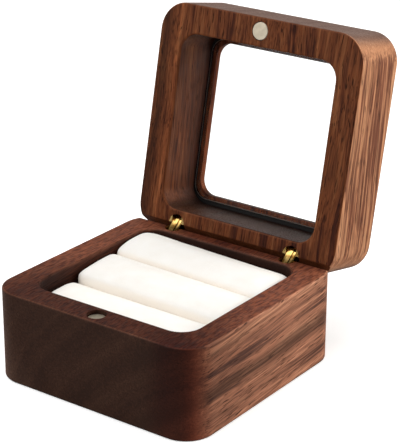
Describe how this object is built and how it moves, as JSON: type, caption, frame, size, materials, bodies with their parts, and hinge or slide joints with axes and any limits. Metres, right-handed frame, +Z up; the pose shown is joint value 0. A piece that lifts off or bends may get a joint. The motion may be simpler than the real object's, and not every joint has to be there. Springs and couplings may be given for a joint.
{
  "type": "ring display box",
  "caption": "Small hinged wooden box with a padded ring insert and a glazed window in its lid, drawn open; the lid swings on barrel hinges and shuts on magnets.",
  "frame": {"origin": "centre of the box's flat underside", "axes": "+Z up, +Y towards the hinges and the open lid, -Y towards the front with the magnets, +X to the right seen from the front"},
  "size_m": [0.065, 0.0924, 0.0854],
  "materials": {
    "walnut_base": "oiled black walnut, satin",
    "walnut_lid": "oiled black walnut, satin",
    "clear_pane": "clear, polished, with a ground edge",
    "black_seal": "matt black sealant bead",
    "nickel_magnet": "nickel plate, satin",
    "greyboard": null,
    "foam": "open-cell foam, matt",
    "ivory_velvet": "short-pile ivory velvet",
    "polished_brass": "polished brass"
  },
  "bodies": {
    "base": {"base_block": "walnut_base", "insert_card": "greyboard", "front_roll_foam": "foam", "front_roll_velvet": "ivory_velvet", "middle_roll_foam": "foam", "middle_roll_velvet": "ivory_velvet", "rear_roll_foam": "foam", "rear_roll_velvet": "ivory_velvet", "base_magnet": "nickel_magnet", "left_base_barrel": "polished_brass", "left_base_pin": "polished_brass", "right_base_barrel": "polished_brass", "right_base_pin": "polished_brass"},
    "left_leaves": {"left_hinge_leaves": "polished_brass"},
    "right_leaves": {"right_hinge_leaves": "polished_brass"},
    "lid": {"lid_frame": "walnut_lid", "window_pane": "clear_pane", "window_seal": "black_seal", "lid_magnet": "nickel_magnet", "left_lid_barrel": "polished_brass", "left_lid_pin": "polished_brass", "right_lid_barrel": "polished_brass", "right_lid_pin": "polished_brass"}
  },
  "joints": [
    {"name": "left_leaf_swing", "type": "hinge", "parent": "base", "child": "left_leaves", "pos_m": [-0.019, 0.0283, 0.0235], "axis": [1, 0, 0], "range_deg": [0, 51]},
    {"name": "lid_swing", "type": "hinge", "parent": "base", "child": "lid", "pos_m": [0, 0.02915, 0.02527], "axis": [1, 0, 0], "range_deg": [0, 102]},
    {"name": "right_leaf_swing", "type": "hinge", "parent": "base", "child": "right_leaves", "pos_m": [0.019, 0.0283, 0.0235], "axis": [1, 0, 0], "range_deg": [0, 51]}
  ],
  "couplings": [
    {"joint": "left_leaf_swing", "follows": "lid_swing", "ratio": 0.5},
    {"joint": "right_leaf_swing", "follows": "lid_swing", "ratio": 0.5}
  ]
}
